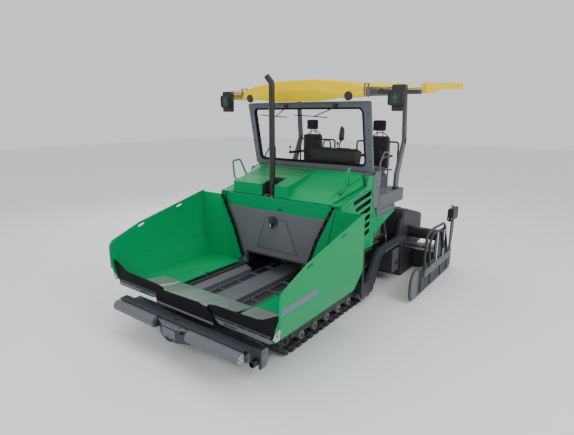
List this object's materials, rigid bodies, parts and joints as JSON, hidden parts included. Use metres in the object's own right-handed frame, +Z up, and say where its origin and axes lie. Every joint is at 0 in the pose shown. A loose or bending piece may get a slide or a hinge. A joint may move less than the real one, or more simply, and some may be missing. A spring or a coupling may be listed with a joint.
{
  "type": "asphalt paver",
  "caption": "Tracked road paver with folding hopper wings, push rollers, conveyors, augers, roofed operator stand and a screed with sliding extensions.",
  "frame": {"origin": "on the ground under the middle of the machine's length and width", "axes": "+Z up, -Y the way the machine travels (hopper end), +X the machine's left side"},
  "size_m": [3.94, 5.913, 3.7423],
  "materials": {
    "green_paint": "gloss enamel",
    "grey_paint": "satin enamel",
    "dark_paint": "satin enamel",
    "yellow_shell": "gloss moulded shell",
    "black_rubber": "matt",
    "track_rubber": "matt",
    "black_plastic": "matt",
    "bare_steel": "worn bright",
    "clear_glass": "clear",
    "seat_cloth": "woven"
  },
  "bodies": {
    "machine": {"chassis_frame": "dark_paint", "track_left": "track_rubber", "track_right": "track_rubber", "track_frame_left": "dark_paint", "track_frame_right": "dark_paint", "push_beam": "dark_paint", "apron_plate": "grey_paint", "apron_flap": "black_rubber", "conveyor_left": "bare_steel", "conveyor_right": "bare_steel", "hopper_rear_wall": "grey_paint", "engine_block": "dark_paint", "front_valance": "green_paint", "body_side_left": "green_paint", "body_side_right": "green_paint", "exhaust_pipe": "dark_paint", "operator_platform": "grey_paint", "windshield_frame": "grey_paint", "windshield_glass": "clear_glass", "rear_rail": "dark_paint", "guard_rail_left": "grey_paint", "guard_rail_right": "grey_paint", "roof": "yellow_shell", "roof_post_left": "grey_paint", "roof_post_right": "grey_paint", "signal_light_left": "black_plastic", "signal_light_right": "black_plastic", "auger_carrier": "dark_paint", "lift_cylinder_left": "dark_paint", "lift_cylinder_right": "dark_paint"},
    "push_roller_beam": {"push_roller_beam": "dark_paint"},
    "push_roller_left": {"push_roller_left": "grey_paint"},
    "push_roller_right": {"push_roller_right": "grey_paint"},
    "hopper_wing_left": {"hopper_wing_left": "green_paint", "wing_flap_left": "black_rubber"},
    "hopper_wing_right": {"hopper_wing_right": "green_paint", "wing_flap_right": "black_rubber"},
    "engine_hood": {"engine_hood": "green_paint"},
    "engine_door_left": {"engine_door_left": "green_paint"},
    "engine_door_right": {"engine_door_right": "green_paint"},
    "seat_left": {"seat_frame_left": "black_plastic", "seat_cushion_left": "seat_cloth", "seat_back_left": "seat_cloth"},
    "seat_right": {"seat_frame_right": "black_plastic", "seat_cushion_right": "seat_cloth", "seat_back_right": "seat_cloth"},
    "operator_console": {"operator_console": "black_plastic"},
    "roof_awning_left": {"roof_awning_left": "yellow_shell"},
    "roof_awning_right": {"roof_awning_right": "yellow_shell"},
    "auger_left": {"auger_left": "bare_steel"},
    "auger_right": {"auger_right": "bare_steel"},
    "screed": {"screed_body": "dark_paint", "screed_arm_left": "grey_paint", "screed_arm_right": "grey_paint"},
    "screed_extension_left": {"screed_extension_left": "dark_paint"},
    "screed_extension_right": {"screed_extension_right": "dark_paint"},
    "lift_rods": {"lift_rod_left": "bare_steel", "lift_rod_right": "bare_steel"}
  },
  "joints": [
    {"name": "push_roller_beam_swing", "type": "hinge", "parent": "machine", "child": "push_roller_beam", "pos_m": [0, -2.7835, 0.36], "axis": [0, 0, 1], "range_deg": [-5, 5]},
    {"name": "push_roller_left_spin", "type": "hinge", "parent": "push_roller_beam", "child": "push_roller_left", "pos_m": [0.77, -2.8785, 0.42], "axis": [1, 0, 0], "continuous": true},
    {"name": "push_roller_right_spin", "type": "hinge", "parent": "push_roller_beam", "child": "push_roller_right", "pos_m": [-0.77, -2.8785, 0.42], "axis": [1, 0, 0], "continuous": true},
    {"name": "hopper_wing_left_fold", "type": "hinge", "parent": "machine", "child": "hopper_wing_left", "pos_m": [0.72, -1.6935, 0.62], "axis": [0, -1, 0], "range_deg": [0, 54]},
    {"name": "hopper_wing_right_fold", "type": "hinge", "parent": "machine", "child": "hopper_wing_right", "pos_m": [-0.72, -1.6935, 0.62], "axis": [0, 1, 0], "range_deg": [0, 54]},
    {"name": "engine_hood_lift", "type": "hinge", "parent": "machine", "child": "engine_hood", "pos_m": [0, 0.1832, 2.186], "axis": [-1, 0, 0], "range_deg": [0, 45]},
    {"name": "engine_door_left_swing", "type": "hinge", "parent": "machine", "child": "engine_door_left", "pos_m": [1.2363, 0.4365, 1.4], "axis": [0, 0, 1], "range_deg": [0, 80]},
    {"name": "engine_door_right_swing", "type": "hinge", "parent": "machine", "child": "engine_door_right", "pos_m": [-1.2363, 0.4365, 1.4], "axis": [0, 0, -1], "range_deg": [0, 80]},
    {"name": "seat_left_swivel", "type": "hinge", "parent": "machine", "child": "seat_left", "pos_m": [0.88, 0.9565, 2], "axis": [0, 0, 1], "range_deg": [-20, 20]},
    {"name": "seat_right_swivel", "type": "hinge", "parent": "machine", "child": "seat_right", "pos_m": [-0.55, 0.9565, 2], "axis": [0, 0, 1], "range_deg": [-20, 20]},
    {"name": "operator_console_slide", "type": "slide", "parent": "machine", "child": "operator_console", "axis": [1, 0, 0], "range_m": [-0.8, 0.25]},
    {"name": "roof_awning_left_slide", "type": "slide", "parent": "machine", "child": "roof_awning_left", "axis": [1, 0, 0], "range_m": [-0.66, 0]},
    {"name": "roof_awning_right_slide", "type": "slide", "parent": "machine", "child": "roof_awning_right", "axis": [-1, 0, 0], "range_m": [-0.66, 0]},
    {"name": "auger_left_spin", "type": "hinge", "parent": "machine", "child": "auger_left", "pos_m": [0.64, 1.4665, 0.36], "axis": [1, 0, 0], "continuous": true},
    {"name": "auger_right_spin", "type": "hinge", "parent": "machine", "child": "auger_right", "pos_m": [-0.64, 1.4665, 0.36], "axis": [1, 0, 0], "continuous": true},
    {"name": "screed_lift", "type": "hinge", "parent": "machine", "child": "screed", "pos_m": [0, 0.2365, 0.3], "axis": [1, 0, 0], "range_deg": [0, 6]},
    {"name": "screed_extension_left_slide", "type": "slide", "parent": "screed", "child": "screed_extension_left", "axis": [1, 0, 0], "range_m": [-0.58, 0.62]},
    {"name": "screed_extension_right_slide", "type": "slide", "parent": "screed", "child": "screed_extension_right", "axis": [-1, 0, 0], "range_m": [-0.58, 0.62]},
    {"name": "lift_rod_slide", "type": "slide", "parent": "machine", "child": "lift_rods", "axis": [0, -0.3742, 0.9274], "range_m": [0, 0.109]}
  ],
  "couplings": [
    {"joint": "lift_rod_slide", "follows": "screed_lift", "m_per_rad": 1.0224}
  ]
}
